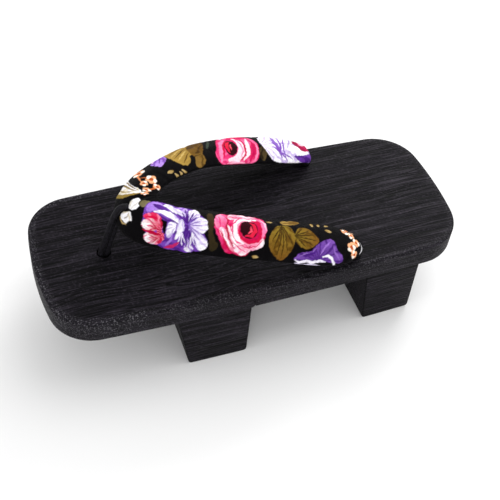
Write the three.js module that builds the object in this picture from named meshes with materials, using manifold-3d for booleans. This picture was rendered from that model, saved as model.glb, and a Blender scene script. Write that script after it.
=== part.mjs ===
// A women's geta: a wooden board on two cross blocks, with a padded V strap and a toe cord.
// Millimetres, +Z up. The origin is on the floor under the middle of the board, the toe points
// to -Y and the board's width runs along X. One sandal serves the left or the right foot.

import * as THREE from 'three';
import { mergeVertices } from 'three/addons/utils/BufferGeometryUtils.js';
import Module from 'manifold-3d';

const wasm = await Module();
wasm.setup();

// ---- Driving dimensions -------------------------------------------------------------------

const boardLength = 235;
const boardWidth = 95;
const boardThick = 13.6;
const deckHeight = 52;
const undersideHeight = deckHeight - boardThick;

const sideBulge = 3.1; // how far each long side bows out over the board's length
const toeBulge = 7.2;
const heelBulge = 5.4;
const toeCornerRadius = 24;
const heelCornerRadius = 25.5;
const edgeRound = 1.4;
const stepsPerArc = 10;

const jointGap = 0.3; // between two pieces that touch
const toothCornerRound = 2.2;
const toothFillet = 1.2; // where a tooth's faces run into the board

// Side profile of each tooth: where its two faces stand along Y, at the board and at the floor.
// The inset is how far its ends stand back from the board's sides.
const teeth = [
  {
    name: 'front_tooth',
    frontAtBoard: -52.9,
    frontAtFloor: -46.7,
    backAtFloor: -13.1,
    backAtBoard: -12.8,
    inset: 0,
  },
  {
    name: 'rear_tooth',
    frontAtBoard: 55.0,
    frontAtFloor: 58.6,
    backAtFloor: 88.7,
    backAtBoard: 88.0,
    inset: 0.9,
  },
];

const toeHole = { x: 0, y: -80.3, radius: 3.9 };
const rearHole = { x: 37, y: 49.3, radius: 3.9 };

// One row for each section of a band, from the joint at the front to the nose over the rear hole.
// x and y are the section's middle and rise is its height over the deck. heading is the band's
// direction seen from above, 0 straight back and 90 straight out. tilt is how far the outer
// edge drops. Both are in degrees.
const bandRows = [
  { x: 0.0, y: -61.9, rise: 28.4, width: 25.4, thick: 9.0, heading: 90, tilt: 38 },
  { x: 9.5, y: -58.8, rise: 29.2, width: 24.6, thick: 8.5, heading: 56, tilt: 34 },
  { x: 18.9, y: -47.0, rise: 29.6, width: 24.0, thick: 8.5, heading: 29, tilt: 30 },
  { x: 28.6, y: -25.0, rise: 28.2, width: 24.6, thick: 8.2, heading: 18, tilt: 21.5 },
  { x: 34.0, y: 0.0, rise: 22.9, width: 25.8, thick: 8.0, heading: 9.5, tilt: 13 },
  { x: 36.8, y: 24.0, rise: 15.6, width: 26.6, thick: 8.0, heading: 4.5, tilt: 12.5 },
  { x: 37.3, y: 38.5, rise: 10.2, width: 23.4, thick: 7.6, heading: 1, tilt: 13 },
  { x: 37.0, y: 46.4, rise: 6.6, width: 17.0, thick: 7.2, heading: 0, tilt: 8 },
  { x: 37.0, y: 49.0, rise: 3.6, width: 12.8, thick: 6.8, heading: 0, tilt: 2 },
  { x: 37.0, y: 49.3, rise: 0.8, width: 9.6, thick: 6.4, heading: 0, tilt: 0 },
];
const bandCamber = 2.7; // how far the edges droop below the middle, where the band is widest
const bandStepsPerRow = 4;
const bandSectionSides = 20;
const tail = { radius: 3.4, rise: 3 }; // the cord that runs from each nose down through the board

// The toe cord: one stem in the hole that parts into two strands. They rise side by side and end
// in the strap's front edge, the rear one lower down.
const stemRadius = 3.4;
const stemRise = 2.4; // height over the deck where the strands part
const strandRadius = 1.65;
const frontStrand = [
  { y: -82.0, rise: -1 },
  { y: -81.3, rise: 3 },
  { y: -78.9, rise: 11.3 },
  { y: -76.9, rise: 20.5 },
  { y: -74.4, rise: 28.4 },
  { y: -71.8, rise: 31.4 },
  { y: -68.4, rise: 29.6 },
];
const rearStrand = [
  { y: -78.6, rise: -1 },
  { y: -78.0, rise: 3 },
  { y: -75.8, rise: 11.5 },
  { y: -73.8, rise: 20 },
  { y: -72.2, rise: 25.5 },
  { y: -69.2, rise: 28 },
];
const strandSides = 12;

// Half sizes of the knots that hold the cords under the board.
const toeKnot = { halfX: 6.6, halfY: 6.6, halfZ: 3.8 };
const rearKnot = { halfX: 5.8, halfY: 4.6, halfZ: 3.0 };

const colours = {
  wood: 0x2b2a2e,
  printedCotton: 0x17151a,
  cord: 0x141316,
};

// ---- Closed meshes and solids ---------------------------------------------------------------

function toSolid(geometry) {
  const bare = geometry.clone();
  bare.deleteAttribute('normal');
  bare.deleteAttribute('uv');
  const merged = mergeVertices(bare, 1e-4);
  return new wasm.Manifold(new wasm.Mesh({
    numProp: 3,
    vertProperties: new Float32Array(merged.attributes.position.array),
    triVerts: new Uint32Array(merged.index.array),
  }));
}

function toGeometry(solid) {
  const mesh = solid.getMesh();
  const geometry = new THREE.BufferGeometry();
  const positions = new Float32Array(mesh.vertProperties);
  geometry.setAttribute('position', new THREE.BufferAttribute(positions, 3));
  geometry.setIndex(new THREE.BufferAttribute(new Uint32Array(mesh.triVerts), 1));
  geometry.computeVertexNormals();
  return geometry;
}

function piece(name, geometry, colour, roughness) {
  const material = new THREE.MeshStandardMaterial({ color: colour, roughness, metalness: 0 });
  const mesh = new THREE.Mesh(geometry, material);
  mesh.name = name;
  return mesh;
}

// ---- The board's outline --------------------------------------------------------------------

// Radius of the arc that rises by bulge over a chord.
function bulgeRadius(halfChord, bulge) {
  return (halfChord ** 2 + bulge ** 2) / (2 * bulge);
}

// Centre of a corner arc that runs smoothly into the right side arc and an end arc.
function cornerCentre(side, end, cornerRadius, endSign) {
  const sideReach = side.radius - cornerRadius;
  const endReach = end.radius - cornerRadius;
  const between = new THREE.Vector2(end.x - side.x, end.y - side.y);
  const distance = between.length();
  const along = (sideReach ** 2 - endReach ** 2 + distance ** 2) / (2 * distance);
  const off = Math.sqrt(sideReach ** 2 - along ** 2);
  between.normalize();
  return new THREE.Vector2(
    side.x + along * between.x - endSign * off * between.y,
    side.y + along * between.y + endSign * off * between.x,
  );
}

function angleFrom(centre, point) {
  return Math.atan2(point.y - centre.y, point.x - centre.x);
}

// Points along an arc, without its last one, where the next arc starts.
function arcPoints(centre, radius, from, to) {
  const points = [];
  for (let step = 0; step < stepsPerArc; step += 1) {
    const angle = from + ((to - from) * step) / stepsPerArc;
    points.push(new THREE.Vector2(
      centre.x + radius * Math.cos(angle),
      centre.y + radius * Math.sin(angle),
    ));
  }
  return points;
}

// The plan outline, anticlockwise from the toe, as eight arcs that meet smoothly.
function boardOutline(inset) {
  const sideRadius = bulgeRadius(boardLength / 2, sideBulge);
  const side = { x: boardWidth / 2 - sideRadius, y: 0, radius: sideRadius };
  const corners = [
    { endSign: -1, bulge: toeBulge, radius: toeCornerRadius },
    { endSign: 1, bulge: heelBulge, radius: heelCornerRadius },
  ].map(({ endSign, bulge, radius }) => {
    const endRadius = bulgeRadius(boardWidth / 2, bulge);
    const end = { x: 0, y: endSign * (boardLength / 2 - endRadius), radius: endRadius };
    const centre = cornerCentre(side, end, radius, endSign);
    const sideAngle = angleFrom(side, centre);
    const endAngle = angleFrom(end, centre);
    return { end, centre, radius, sideAngle, endAngle };
  });
  const [toe, heel] = corners;
  const points = [
    ...arcPoints(side, side.radius - inset, toe.sideAngle, heel.sideAngle),
    ...arcPoints(heel.centre, heel.radius - inset, heel.sideAngle, heel.endAngle),
    ...arcPoints(heel.end, heel.end.radius - inset, heel.endAngle, Math.PI / 2),
  ];
  const toePoints = [
    ...arcPoints(toe.end, toe.end.radius - inset, -Math.PI / 2, toe.endAngle),
    ...arcPoints(toe.centre, toe.radius - inset, toe.endAngle, toe.sideAngle),
  ];
  const rightHalf = [...toePoints, ...points];
  const heelTip = new THREE.Vector2(0, boardLength / 2 - inset);
  const leftHalf = rightHalf.slice(1).reverse().map(({ x, y }) => new THREE.Vector2(-x, y));
  return new THREE.Shape([...rightHalf, heelTip, ...leftHalf]);
}

// ---- Wood -----------------------------------------------------------------------------------

function platform() {
  const outline = boardOutline(0);
  const holes = [toeHole, rearHole, { ...rearHole, x: -rearHole.x }];
  for (const hole of holes) {
    const round = [
      ...arcPoints(hole, hole.radius, 0, Math.PI),
      ...arcPoints(hole, hole.radius, Math.PI, 2 * Math.PI),
    ];
    outline.holes.push(new THREE.Path(round.reverse()));
  }
  const board = new THREE.ExtrudeGeometry(outline, {
    depth: boardThick - 2 * edgeRound,
    bevelEnabled: true,
    bevelThickness: edgeRound,
    bevelSize: edgeRound,
    bevelOffset: -edgeRound,
    bevelSegments: 3,
  });
  board.translate(0, 0, undersideHeight + edgeRound);
  return toGeometry(toSolid(board));
}

// A tooth's side profile in Y (across) and Z (up): rounded corners at the floor, small hollow
// fillets under the board.
function toothProfile({ frontAtBoard, frontAtFloor, backAtFloor, backAtBoard }) {
  const top = undersideHeight - jointGap;
  const profile = new THREE.Shape();
  profile.moveTo(frontAtBoard - toothFillet, top);
  profile.quadraticCurveTo(frontAtBoard, top, frontAtBoard, top - toothFillet);
  profile.lineTo(frontAtFloor, toothCornerRound);
  profile.quadraticCurveTo(frontAtFloor, 0, frontAtFloor + toothCornerRound, 0);
  profile.lineTo(backAtFloor - toothCornerRound, 0);
  profile.quadraticCurveTo(backAtFloor, 0, backAtFloor, toothCornerRound);
  profile.lineTo(backAtBoard, top - toothFillet);
  profile.quadraticCurveTo(backAtBoard, top, backAtBoard + toothFillet, top);
  return profile;
}

// A tooth is its side profile run across the board and cut to the board's own outline.
function tooth(row) {
  const across = new THREE.ExtrudeGeometry(toothProfile(row), {
    depth: boardWidth + 10,
    bevelEnabled: false,
    curveSegments: 6,
  });
  across.translate(0, 0, -(boardWidth + 10) / 2);
  const yAxis = new THREE.Vector3(0, 1, 0);
  const zAxis = new THREE.Vector3(0, 0, 1);
  const xAxis = new THREE.Vector3(1, 0, 0);
  across.applyMatrix4(new THREE.Matrix4().makeBasis(yAxis, zAxis, xAxis));
  const footprint = new THREE.ExtrudeGeometry(boardOutline(row.inset), {
    depth: deckHeight + 2,
    bevelEnabled: false,
  });
  footprint.translate(0, 0, -1);
  return toGeometry(toSolid(across).intersect(toSolid(footprint)));
}

// ---- Strap ----------------------------------------------------------------------------------

// The section between two rows: the Catmull-Rom curve through every column of the table. Before
// the first row stands the second row's mirror image, so the two bands meet without a kink.
function bandSectionAt(position) {
  const columns = Object.keys(bandRows[0]);
  const mirrored = { ...bandRows[1], x: -bandRows[1].x, heading: 180 - bandRows[1].heading };
  const row = Math.min(Math.floor(position), bandRows.length - 2);
  const blend = position - row;
  const before = row === 0 ? mirrored : bandRows[row - 1];
  const from = bandRows[row];
  const to = bandRows[row + 1];
  const after = row + 2 < bandRows.length ? bandRows[row + 2] : to;
  const value = {};
  for (const column of columns) {
    const [a, b, c, d] = [before[column], from[column], to[column], after[column]];
    value[column] = 0.5 * (2 * b + (c - a) * blend + (2 * a - 5 * b + 4 * c - d) * blend ** 2
      + (3 * b - a - 3 * c + d) * blend ** 3);
  }
  return value;
}

function bandMiddle(section) {
  return new THREE.Vector3(section.x, section.y, deckHeight + section.rise);
}

// One section's ring of points: a flattened round whose edges droop by the camber.
function bandRing(position, clearance) {
  const section = bandSectionAt(position);
  const last = bandRows.length - 1;
  const ahead = bandMiddle(bandSectionAt(Math.min(position + 0.01, last)));
  const behind = bandMiddle(bandSectionAt(Math.max(position - 0.01, 0)));
  const along = ahead.sub(behind);
  if (position === 0) along.set(1, 0, 0);
  along.normalize();
  const heading = THREE.MathUtils.degToRad(section.heading);
  const across = new THREE.Vector3(Math.cos(heading), -Math.sin(heading), 0);
  across.addScaledVector(along, -across.dot(along)).normalize();
  const tilt = THREE.MathUtils.degToRad(section.tilt);
  const outward = across.clone().applyAxisAngle(along, tilt);
  const upward = new THREE.Vector3().crossVectors(outward, along);
  const halfWidth = section.width / 2 + clearance;
  const halfThick = section.thick / 2 + clearance;
  const camber = bandCamber * Math.min(1, section.width / 28) ** 2;
  const middle = bandMiddle(section);
  const ring = [];
  for (let side = 0; side < bandSectionSides; side += 1) {
    const angle = (2 * Math.PI * side) / bandSectionSides;
    const reach = Math.sign(Math.cos(angle)) * Math.abs(Math.cos(angle)) ** 0.85;
    const height = Math.sign(Math.sin(angle)) * Math.abs(Math.sin(angle)) ** 0.95;
    const point = middle.clone();
    point.addScaledVector(outward, reach * halfWidth);
    point.addScaledVector(upward, height * halfThick - camber * reach ** 2);
    ring.push(point);
  }
  return ring;
}

// A closed skin over rings of points, with a fan at each end.
function skin(rings) {
  const sides = rings[0].length;
  const points = rings.flat();
  const endMiddles = [rings[0], rings[rings.length - 1]].map((ring) => {
    const middle = new THREE.Vector3();
    for (const point of ring) middle.add(point);
    return middle.divideScalar(sides);
  });
  const firstMiddle = points.length;
  const lastMiddle = points.length + 1;
  points.push(...endMiddles);
  const triangles = [];
  for (let ring = 0; ring < rings.length - 1; ring += 1) {
    for (let side = 0; side < sides; side += 1) {
      const next = (side + 1) % sides;
      const a = ring * sides + side;
      const b = ring * sides + next;
      const c = a + sides;
      const d = b + sides;
      triangles.push(a, c, b, b, c, d);
    }
  }
  const lastRing = (rings.length - 1) * sides;
  for (let side = 0; side < sides; side += 1) {
    const next = (side + 1) % sides;
    triangles.push(firstMiddle, side, next);
    triangles.push(lastMiddle, lastRing + next, lastRing + side);
  }
  const geometry = new THREE.BufferGeometry();
  const numbers = points.flatMap((point) => point.toArray());
  geometry.setAttribute('position', new THREE.Float32BufferAttribute(numbers, 3));
  geometry.setIndex(triangles);
  return geometry;
}

// A plain turned cord end, standing in a hole from the board's underside up to a low dome.
function plug(hole, radius, rise) {
  const top = deckHeight + rise;
  const profile = [
    new THREE.Vector2(0, undersideHeight),
    new THREE.Vector2(radius, undersideHeight),
    new THREE.Vector2(radius, top - 0.7 * radius),
    new THREE.Vector2(0.75 * radius, top - 0.2 * radius),
    new THREE.Vector2(0, top),
  ];
  const turned = new THREE.LatheGeometry(profile, 20);
  turned.rotateX(Math.PI / 2);
  turned.translate(hole.x, hole.y, 0);
  return toSolid(turned);
}

// Both bands and their tails as one solid. The bands are larger all round by the clearance.
function strapSolid(clearance) {
  const steps = (bandRows.length - 1) * bandStepsPerRow;
  const half = [];
  for (let step = 0; step <= steps; step += 1) {
    half.push(bandRing(step / bandStepsPerRow, clearance));
  }
  const mirrorRing = (ring) => ring.map((point) => new THREE.Vector3(-point.x, point.y, point.z));
  const otherHalf = half.slice(1).reverse().map(mirrorRing);
  const bands = toSolid(skin([...otherHalf, ...half]));
  const leftTail = plug(rearHole, tail.radius, tail.rise);
  const rightTail = plug({ ...rearHole, x: -rearHole.x }, tail.radius, tail.rise);
  return bands.add(leftTail).add(rightTail);
}

// ---- Cords ----------------------------------------------------------------------------------

function strand(rows) {
  const path = new THREE.CatmullRomCurve3(
    rows.map(({ y, rise }) => new THREE.Vector3(toeHole.x, y, deckHeight + rise)),
  );
  const section = new THREE.Shape();
  for (let side = 0; side < strandSides; side += 1) {
    const angle = (2 * Math.PI * side) / strandSides;
    const x = strandRadius * Math.cos(angle);
    const y = strandRadius * Math.sin(angle);
    if (side === 0) section.moveTo(x, y);
    else section.lineTo(x, y);
  }
  const tube = new THREE.ExtrudeGeometry(section, { steps: 5 * rows.length, extrudePath: path });
  return toSolid(tube);
}

function toeThong() {
  const stem = plug(toeHole, stemRadius, stemRise);
  const cords = stem.add(strand(frontStrand)).add(strand(rearStrand));
  return toGeometry(cords.subtract(strapSolid(jointGap)));
}

// A knot: a flattened bead whose top stands a joint gap under the board.
function knot({ halfX, halfY, halfZ }, x, y) {
  const profile = [];
  const steps = 8;
  for (let step = 0; step <= steps; step += 1) {
    const angle = -Math.PI / 2 + (Math.PI * step) / steps;
    profile.push(new THREE.Vector2(step % steps === 0 ? 0 : Math.cos(angle), Math.sin(angle)));
  }
  const bead = new THREE.LatheGeometry(profile, 20);
  bead.rotateX(Math.PI / 2);
  bead.scale(halfX, halfY, halfZ);
  bead.translate(x, y, undersideHeight - jointGap - halfZ);
  return toGeometry(toSolid(bead));
}

// ---- The sandal -----------------------------------------------------------------------------

const geta = new THREE.Group();
geta.add(piece('platform', platform(), colours.wood, 0.6));
for (const row of teeth) {
  geta.add(piece(row.name, tooth(row), colours.wood, 0.6));
}
geta.add(piece('strap', toGeometry(strapSolid(0)), colours.printedCotton, 0.85));
geta.add(piece('toe_thong', toeThong(), colours.cord, 0.9));
geta.add(piece('toe_knot', knot(toeKnot, toeHole.x, toeHole.y), colours.cord, 0.9));
geta.add(piece('rear_knot_right', knot(rearKnot, -rearHole.x, rearHole.y), colours.cord, 0.9));
geta.add(piece('rear_knot_left', knot(rearKnot, rearHole.x, rearHole.y), colours.cord, 0.9));

export default geta;
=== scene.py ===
# %% [markdown]
# # A geta sandal
# A geta is a wooden sandal: a board on two cross blocks, called teeth, with a padded V strap and
# a short toe cord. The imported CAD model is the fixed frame. This file gives each piece its
# looks, and every place and size comes from the frame or from a few named dimensions.

# %% Load the frame
import math
from contextlib import contextmanager

import bmesh
import bpy
import numpy as np
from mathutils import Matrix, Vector


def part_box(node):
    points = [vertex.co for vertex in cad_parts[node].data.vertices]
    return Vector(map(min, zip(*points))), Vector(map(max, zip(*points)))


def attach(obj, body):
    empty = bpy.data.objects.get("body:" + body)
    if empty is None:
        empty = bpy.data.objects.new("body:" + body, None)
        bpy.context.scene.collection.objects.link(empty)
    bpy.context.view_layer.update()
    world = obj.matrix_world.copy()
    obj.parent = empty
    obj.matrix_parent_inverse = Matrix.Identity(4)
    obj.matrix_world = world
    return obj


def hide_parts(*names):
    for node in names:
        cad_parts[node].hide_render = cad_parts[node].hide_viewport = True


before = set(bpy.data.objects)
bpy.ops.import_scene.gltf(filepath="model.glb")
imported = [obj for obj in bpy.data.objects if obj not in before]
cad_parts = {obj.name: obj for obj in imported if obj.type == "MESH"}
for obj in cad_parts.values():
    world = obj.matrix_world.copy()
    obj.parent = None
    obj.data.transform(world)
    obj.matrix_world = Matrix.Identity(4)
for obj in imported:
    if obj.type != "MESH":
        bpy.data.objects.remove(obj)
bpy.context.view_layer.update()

board_low, board_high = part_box("platform")
MM = 0.001
DECK = board_high.z / MM
UNDERSIDE = board_low.z / MM
BOARD_LENGTH = (board_high.y - board_low.y) / MM
BOARD_WIDTH = 95.0
print(f"board {BOARD_LENGTH:.1f} x {BOARD_WIDTH:.1f} mm, deck at {DECK:.1f} mm")

# %% [markdown]
# ## The camera
# The camera looks down at the sandal's left side from in front. It stands where the eye would,
# about 56 cm away, so near edges look longer than far ones. A camera looks along its own -Z:
# `to_track_quat` turns that axis along the line of sight and keeps the picture level, and one
# more small turn puts the sandal in the middle of the picture.

# %% Camera
CAMERA_PLACE = Vector((0.3253, -0.1451, 0.4325))
AIM_AT = Vector((0.0, 0.004, 0.027))
VIEW_AZIMUTH, VIEW_ELEVATION = 74.1, 45.44
LENS = 68.0
bpy.ops.object.camera_add(location=CAMERA_PLACE)
camera = bpy.context.object
camera.name = "camera"
camera.data.sensor_width = 36.0
camera.data.lens = LENS
camera.data.clip_start = 0.01
azimuth, elevation = math.radians(VIEW_AZIMUTH), math.radians(VIEW_ELEVATION)
back = Vector((
    math.sin(azimuth) * math.cos(elevation),
    -math.cos(azimuth) * math.cos(elevation),
    math.sin(elevation),
))
level = (-back).to_track_quat("-Z", "Y")
aim = level.inverted() @ (AIM_AT - CAMERA_PLACE)
camera.rotation_mode = "QUATERNION"
camera.rotation_quaternion = level @ Vector((0, 0, -1)).rotation_difference(aim)
bpy.context.scene.camera = camera
print("camera at", [round(x, 3) for x in camera.location])

# %% [markdown]
# ## Floor and light
# A studio shot has a pale floor that runs out of the picture and large soft lights. The wide
# light overhead makes the soft shadow under the strap, and the one beside the camera lifts the
# dark sides of the wood.

# %% Floor and light
FLOOR_SIZE, FLOOR_GREY = 12.0, 0.86
WORLD_LIGHT = 0.86


def plain_material(name, colour, roughness):
    material = bpy.data.materials.new(name)
    material.use_nodes = True
    shader = material.node_tree.nodes["Principled BSDF"]
    shader.inputs["Base Color"].default_value = (*colour, 1)
    shader.inputs["Roughness"].default_value = roughness
    shader.inputs["Specular IOR Level"].default_value = 0.2
    return material


bpy.ops.mesh.primitive_plane_add(size=FLOOR_SIZE, location=(0, 0, 0))
floor = bpy.context.object
floor.name = "floor"
floor.data.materials.append(plain_material("pale_floor", [FLOOR_GREY] * 3, 0.9))


def soft_light(name, place, size, power):
    """A round area light turned towards the sandal."""
    bpy.ops.object.light_add(type="AREA", location=place)
    light = bpy.context.object
    light.name = name
    light.data.shape = "DISK"
    light.data.size = size
    light.data.energy = power
    aim = Vector((0, 0, 0.04)) - Vector(place)
    light.rotation_mode = "QUATERNION"
    light.rotation_quaternion = aim.to_track_quat("-Z", "Y")


soft_light("light_above", (-0.15, 0.45, 1.00), 1.0, 4)
soft_light("light_behind", (-1.0, 1.05, 0.9), 0.8, 13)
soft_light("light_beside_camera", (1.25, -0.55, 0.7), 0.9, 5)
soft_light("light_toe_side", (0.2, -1.5, 0.9), 0.9, 2)

world = bpy.data.worlds.new("studio")
world.use_nodes = True
world.node_tree.nodes["Background"].inputs["Color"].default_value = (1, 1, 1, 1)
world.node_tree.nodes["Background"].inputs["Strength"].default_value = WORLD_LIGHT
bpy.context.scene.world = world
bpy.context.scene.view_settings.view_transform = "Standard"

# %% [markdown]
# ## Small helpers
# Blender's operators act on whatever is selected, so every step starts from a clean selection.

# %% Helpers
def only(piece):
    """Selects one object and makes it the active one."""
    bpy.ops.object.select_all(action="DESELECT")
    bpy.context.view_layer.objects.active = piece
    piece.select_set(True)


@contextmanager
def edit_mode(piece):
    """Edit mode on one object, with its whole mesh selected at the start."""
    only(piece)
    bpy.ops.object.mode_set(mode="EDIT")
    bpy.ops.mesh.select_all(action="SELECT")
    yield
    bpy.ops.object.mode_set(mode="OBJECT")


def new_piece(name, points, faces):
    """A smooth mesh object from points in millimetres."""
    mesh = bpy.data.meshes.new(name)
    mesh.from_pydata([[x * MM for x in point] for point in points], [], faces)
    piece = bpy.data.objects.new(name, mesh)
    bpy.context.scene.collection.objects.link(piece)
    mesh.shade_smooth()
    return piece


def finish_piece(piece, material, nodes):
    """The last step of every piece: its material, slot, body and the CAD nodes it replaces."""
    piece.data.materials.clear()
    piece.data.materials.append(material)
    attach(piece, "root")
    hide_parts(*nodes)
    print(piece.name, len(piece.data.vertices), "points")


def linear(red, green, blue):
    """Screen colour numbers from 0 to 255 as the linear light that shaders want."""
    return tuple((value / 255) ** 2.2 for value in (red, green, blue))


def smooth_between(before, a, b, after, t):
    """The place on a smooth curve from a to b, at t from 0 to 1, given their neighbours."""
    bend = 2 * before - 5 * a + 4 * b - after
    twist = 3 * a - before - 3 * b + after
    return 0.5 * (2 * a + (b - before) * t + bend * t ** 2 + twist * t ** 3)


def runs_along(points):
    """How far each point of a line is from the first one, measured along the line."""
    return np.append(0, np.cumsum(np.linalg.norm(np.diff(points, axis=0), axis=1)))


class Nodes:
    """A short way to write a material: add nodes, join sockets."""

    def __init__(self, name):
        self.material = bpy.data.materials.new(name)
        self.material.use_nodes = True
        self.tree = self.material.node_tree
        self.shader = self.tree.nodes["Principled BSDF"]

    def add(self, kind, links=None, **settings):
        node = self.tree.nodes.new("ShaderNode" + kind)
        for key, value in settings.items():
            setattr(node, key, value)
        for socket, value in (links or {}).items():
            if isinstance(value, bpy.types.NodeSocket):
                self.tree.links.new(value, node.inputs[socket])
            else:
                node.inputs[socket].default_value = value
        return node

    def join(self, output, socket):
        self.tree.links.new(output, socket)

    def place(self):
        """Where the surface is, in the sandal's own coordinates."""
        return self.add("TexCoord").outputs["Object"]

    def noise(self, place, scale, detail):
        return self.add("TexNoise", {"Vector": place, "Scale": scale, "Detail": detail}).outputs[0]

    def mark(self, name):
        """A number that was stored at each point."""
        return self.add("Attribute", attribute_name=name).outputs["Fac"]

    def math(self, operation, first, second=0.0):
        return self.add("Math", {0: first, 1: second}, operation=operation).outputs[0]

    def range(self, value, low, high, to_low=0.0, to_high=1.0):
        """Maps low to high onto another range, and stops at its ends."""
        links = {"Value": value, "From Min": low, "From Max": high}
        links |= {"To Min": to_low, "To Max": to_high}
        return self.add("MapRange", links).outputs[0]

    def blend(self, factor, first, second, mode="MIX"):
        node = self.add("Mix", data_type="RGBA", blend_type=mode)
        for socket, value in ((0, factor), (6, first), (7, second)):
            if isinstance(value, bpy.types.NodeSocket):
                self.join(value, node.inputs[socket])
            elif socket == 0:
                node.inputs[socket].default_value = value
            else:
                node.inputs[socket].default_value = (*value, 1)
        return node.outputs[2]

    def tint(self, colour, share, amount, other):
        """Mixes another colour in, up to the amount, where the share is high."""
        return self.blend(self.math("MULTIPLY", share, amount), colour, other)

    def bump(self, height, strength, distance, normal=None):
        links = {"Height": height, "Strength": strength, "Distance": distance}
        if normal is not None:
            links["Normal"] = normal
        return self.add("Bump", links).outputs[0]

    def set(self, **values):
        """Sets the shader's inputs, by their names with _ for a space."""
        for name, value in values.items():
            socket = self.shader.inputs[name.replace("_", " ")]
            if isinstance(value, bpy.types.NodeSocket):
                self.join(value, socket)
            else:
                socket.default_value = value

# %% [markdown]
# ## The wood's finish
# Light wood was brushed along its length, which lifts the hard grain, and stained near black.
# The pattern must run through all the pieces alike, so it reads Object coordinates: every piece
# sits at the origin, so the coordinates are the sandal's own. A noise squeezed across the board
# and drawn out along it gives fibres, and a second, wider one gives the bands of the grain.

# %% Stained wood
def stained_wood():
    """Near-black stained wood with brushed grain, worn rims and painted shade on the teeth."""
    n = Nodes("stained_wood")
    place = n.place()

    sway = n.add("TexNoise", {"Vector": place, "Scale": 14.0, "Detail": 1.0}).outputs["Color"]
    sway = n.add("VectorMath", {0: sway, 1: (0.5, 0.5, 0.5)}, operation="SUBTRACT").outputs[0]
    sway = n.add("VectorMath", {0: sway, "Scale": 0.006}, operation="SCALE").outputs[0]
    place = n.add("VectorMath", {0: place, 1: sway}, operation="ADD").outputs[0]

    def grain(length, width, detail, seed):
        """Noise drawn out along Y: each streak about width by length metres."""
        stretched = n.add("Mapping", {
            "Vector": place,
            "Location": (seed, seed * 0.7, seed * 1.3),
            "Scale": (1 / width, 1 / length, 1 / width),
        }).outputs[0]
        links = {"Vector": stretched, "Scale": 1.0, "Detail": detail, "Roughness": 0.6}
        return n.add("TexNoise", links).outputs[0]

    fibre = grain(0.030, 0.0009, 2.0, 3.1)
    pore = grain(0.050, 0.0020, 1.0, 9.3)
    line = grain(0.300, 0.0060, 1.0, 7.7)
    band = grain(0.160, 0.0110, 2.0, 1.9)
    blotch = n.noise(place, 60.0, 4.0)
    mottle = n.noise(place, 700.0, 2.0)
    speck = n.noise(place, 1300.0, 2.0)

    # A grain line is where the broad noise passes one of six levels, and a pore is a low streak.
    groove = None
    for level in (0.35, 0.41, 0.47, 0.53, 0.59, 0.65):
        away = n.math("ABSOLUTE", n.math("SUBTRACT", line, level))
        here = n.range(away, 0.004, 0.016, 1.0, 0.0)
        groove = here if groove is None else n.math("MAXIMUM", groove, here)
    groove = n.math("MULTIPLY", groove, n.range(fibre, 0.20, 0.36))
    groove = n.math("MAXIMUM", groove, n.range(pore, 0.33, 0.38, 0.7, 0.0))

    # Each step lays a stain or a wear colour over the one before it, and the last one lays painted shade.
    dark, middle, light = linear(16, 15, 18), linear(27, 25, 30), linear(74, 68, 78)
    # The near-black colour serves both the grain lines and the painted shade.
    painted_shade_and_grain_black, scuff, bare = linear(4, 4, 5), linear(40, 38, 43), linear(112, 110, 115)
    rim = n.mark("rim")
    colour = n.blend(n.range(band, 0.35, 0.65), dark, middle)
    for share, amount, other in (
        (n.range(fibre, 0.46, 0.70), 0.32, light),
        (n.range(mottle, 0.52, 0.72), 0.30, light),
        (n.range(blotch, 0.45, 0.75), 0.25, middle),
        (groove, 0.92, painted_shade_and_grain_black),
        (rim, 0.35, scuff),
        (n.math("MULTIPLY", n.range(speck, 0.54, 0.70), rim), 0.75, bare),
        # Painted shade: near black on the teeth's rounded end edges and under the board's overhang.
        (n.mark("painted_shade_and_grain_black"), 0.85, painted_shade_and_grain_black),
    ):
        colour = n.tint(colour, share, amount, other)

    height = n.math("SUBTRACT", n.math("MULTIPLY", fibre, 0.7), n.math("MULTIPLY", groove, 0.5))
    n.set(Base_Color=colour, Normal=n.bump(height, 0.8, 0.0006))
    n.set(Roughness=n.range(fibre, 0.3, 0.7, 0.60, 0.44), Specular_IOR_Level=0.06)
    return n.material


WOOD = stained_wood()

# %% [markdown]
# ## The board
# The board's plan is drawn with arcs: two long sides and two ends that bow out a little, and four
# round corners. A circle of points is laid on that outline, filled, and extruded to the board's
# thickness. Its upper edge is rounded more than the lower one. The front tooth stands flush with
# the board's sides, so the lower edge stays sharp there and the two read as one block.

# %% The board's outline
SIDE_BULGE = 3.1
TOE = {"end": -1, "bulge": 7.2, "corner": 24.0}
HEEL = {"end": 1, "bulge": 5.4, "corner": 25.5}
OUTLINE_STEP = 2.0


def bulge_radius(half_chord, bulge):
    """The radius of an arc that bows out by the bulge over the chord."""
    return (half_chord ** 2 + bulge ** 2) / (2 * bulge)


def arc(centre, radius, start, stop):
    """Points along an arc, about OUTLINE_STEP apart, without the last one."""
    count = max(2, round(abs(stop - start) * radius / OUTLINE_STEP))
    angles = [start + (stop - start) * i / count for i in range(count)]
    return [(centre[0] + radius * math.cos(a), centre[1] + radius * math.sin(a)) for a in angles]


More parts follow.
